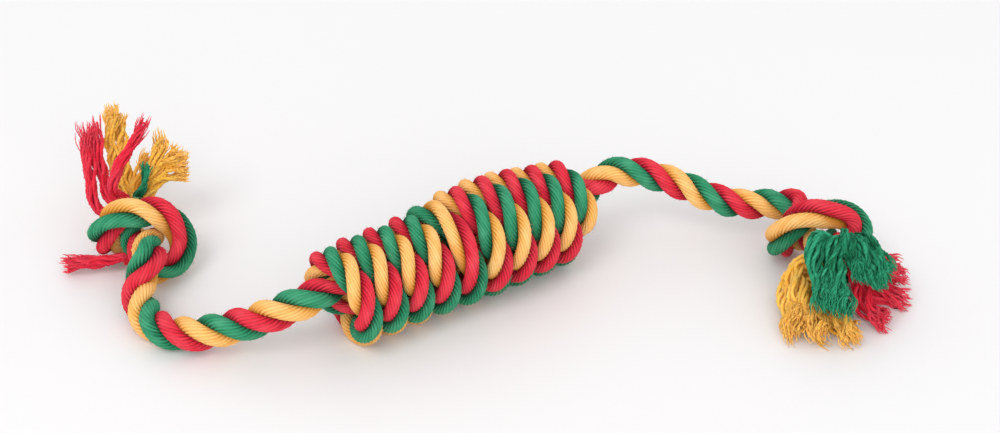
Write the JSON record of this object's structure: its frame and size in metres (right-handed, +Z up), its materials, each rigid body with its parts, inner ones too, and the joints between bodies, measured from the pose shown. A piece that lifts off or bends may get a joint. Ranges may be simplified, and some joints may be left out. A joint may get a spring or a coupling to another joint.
{
  "type": "rope dog toy",
  "caption": "Tug toy of twisted coloured cotton rope, wound into a long knot in its middle, with an overhand knot and a frayed tuft at each end.",
  "frame": {"origin": "centre of the toy's box on the surface that it lies on", "axes": "+X along the toy from its upright tuft to its flat one, +Z up"},
  "size_m": [0.3042, 0.1048, 0.046],
  "materials": {
    "red_cotton": "dyed cotton yarn, twisted, matt and slightly fuzzy",
    "yellow_cotton": "dyed cotton yarn, twisted, matt and slightly fuzzy",
    "green_cotton": "dyed cotton yarn, twisted, matt and slightly fuzzy"
  },
  "bodies": {
    "middle_knot": {"middle_knot_red": "red_cotton", "middle_knot_yellow": "yellow_cotton", "middle_knot_green": "green_cotton"},
    "left_arm_inner": {"left_arm_inner_red": "red_cotton", "left_arm_inner_yellow": "yellow_cotton", "left_arm_inner_green": "green_cotton"},
    "left_arm_outer": {"left_arm_outer_red": "red_cotton", "left_arm_outer_yellow": "yellow_cotton", "left_arm_outer_green": "green_cotton"},
    "left_knot": {"left_knot_red": "red_cotton", "left_knot_yellow": "yellow_cotton", "left_knot_green": "green_cotton"},
    "left_tuft_yellow_right": {"left_tuft_yellow_right": "yellow_cotton"},
    "left_tuft_green": {"left_tuft_green": "green_cotton"},
    "left_tuft_red_right": {"left_tuft_red_right": "red_cotton"},
    "left_tuft_red_left": {"left_tuft_red_left": "red_cotton"},
    "left_tuft_red_low": {"left_tuft_red_low": "red_cotton"},
    "left_tuft_yellow_top": {"left_tuft_yellow_top": "yellow_cotton"},
    "right_arm_inner": {"right_arm_inner_red": "red_cotton", "right_arm_inner_yellow": "yellow_cotton", "right_arm_inner_green": "green_cotton"},
    "right_arm_outer": {"right_arm_outer_red": "red_cotton", "right_arm_outer_yellow": "yellow_cotton", "right_arm_outer_green": "green_cotton"},
    "right_knot": {"right_knot_red": "red_cotton", "right_knot_yellow": "yellow_cotton", "right_knot_green": "green_cotton"},
    "right_tuft_red": {"right_tuft_red": "red_cotton"},
    "right_tuft_green": {"right_tuft_green": "green_cotton"},
    "right_tuft_yellow": {"right_tuft_yellow": "yellow_cotton"}
  },
  "joints": [
    {"name": "left_arm_swing", "type": "hinge", "parent": "middle_knot", "child": "left_arm_inner", "pos_m": [-0.05729, -0.04308, 0.02244], "axis": [0, 0, 1], "range_deg": [-35, 35]},
    {"name": "left_arm_lift", "type": "hinge", "parent": "left_arm_inner", "child": "left_arm_outer", "pos_m": [-0.1019, -0.0448, 0.0074], "axis": [-0.0384, 0.9993, 0], "range_deg": [0, 40]},
    {"name": "left_knot_bend", "type": "hinge", "parent": "left_arm_outer", "child": "left_knot", "pos_m": [-0.1222, -0.021, 0.0096], "axis": [0, 0, 1], "range_deg": [-35, 35]},
    {"name": "left_tuft_yellow_right_bend", "type": "hinge", "parent": "left_knot", "child": "left_tuft_yellow_right", "pos_m": [-0.12696, 0.02117, 0.01647], "axis": [0, 0.7862, -0.618], "range_deg": [0, 30]},
    {"name": "left_tuft_green_bend", "type": "hinge", "parent": "left_knot", "child": "left_tuft_green", "pos_m": [-0.12856, 0.0206, 0.01942], "axis": [0.8551, 0.2109, -0.4736], "range_deg": [0, 30]},
    {"name": "left_tuft_red_right_bend", "type": "hinge", "parent": "left_knot", "child": "left_tuft_red_right", "pos_m": [-0.13176, 0.01946, 0.01942], "axis": [0.9794, -0.1497, -0.1355], "range_deg": [0, 30]},
    {"name": "left_tuft_red_left_bend", "type": "hinge", "parent": "left_knot", "child": "left_tuft_red_left", "pos_m": [-0.13336, 0.01887, 0.01648], "axis": [0, -0.7279, 0.6857], "range_deg": [0, 30]},
    {"name": "left_tuft_red_low_bend", "type": "hinge", "parent": "left_knot", "child": "left_tuft_red_low", "pos_m": [-0.13035, 0.0006, 0.00698], "axis": [-0.1399, 0.2471, 0.9588], "range_deg": [0, 30]},
    {"name": "left_tuft_yellow_top_bend", "type": "hinge", "parent": "left_knot", "child": "left_tuft_yellow_top", "pos_m": [-0.12856, 0.02059, 0.01353], "axis": [-0.9264, -0.1539, -0.3437], "range_deg": [0, 30]},
    {"name": "right_arm_swing", "type": "hinge", "parent": "middle_knot", "child": "right_arm_inner", "pos_m": [0.03548, 0.01949, 0.02244], "axis": [0, 0, 1], "range_deg": [-35, 35]},
    {"name": "right_arm_lift", "type": "hinge", "parent": "right_arm_inner", "child": "right_arm_outer", "pos_m": [0.0701, 0.0244, 0.023], "axis": [0.1405, -0.9901, 0], "range_deg": [0, 40]},
    {"name": "right_knot_bend", "type": "hinge", "parent": "right_arm_outer", "child": "right_knot", "pos_m": [0.1035, 0.0232, 0.0146], "axis": [0, 0, 1], "range_deg": [-35, 35]},
    {"name": "right_tuft_red_bend", "type": "hinge", "parent": "right_knot", "child": "right_tuft_red", "pos_m": [0.12985, -0.01249, 0.01637], "axis": [0.5703, -0.7604, 0.3108], "range_deg": [0, 30]},
    {"name": "right_tuft_green_bend", "type": "hinge", "parent": "right_knot", "child": "right_tuft_green", "pos_m": [0.12706, -0.0136, 0.01937], "axis": [-0.9451, 0.3267, 0], "range_deg": [0, 20]},
    {"name": "right_tuft_yellow_bend", "type": "hinge", "parent": "right_knot", "child": "right_tuft_yellow", "pos_m": [0.12427, -0.01469, 0.01637], "axis": [-0.138, -0.3673, 0.9198], "range_deg": [0, 20]}
  ]
}
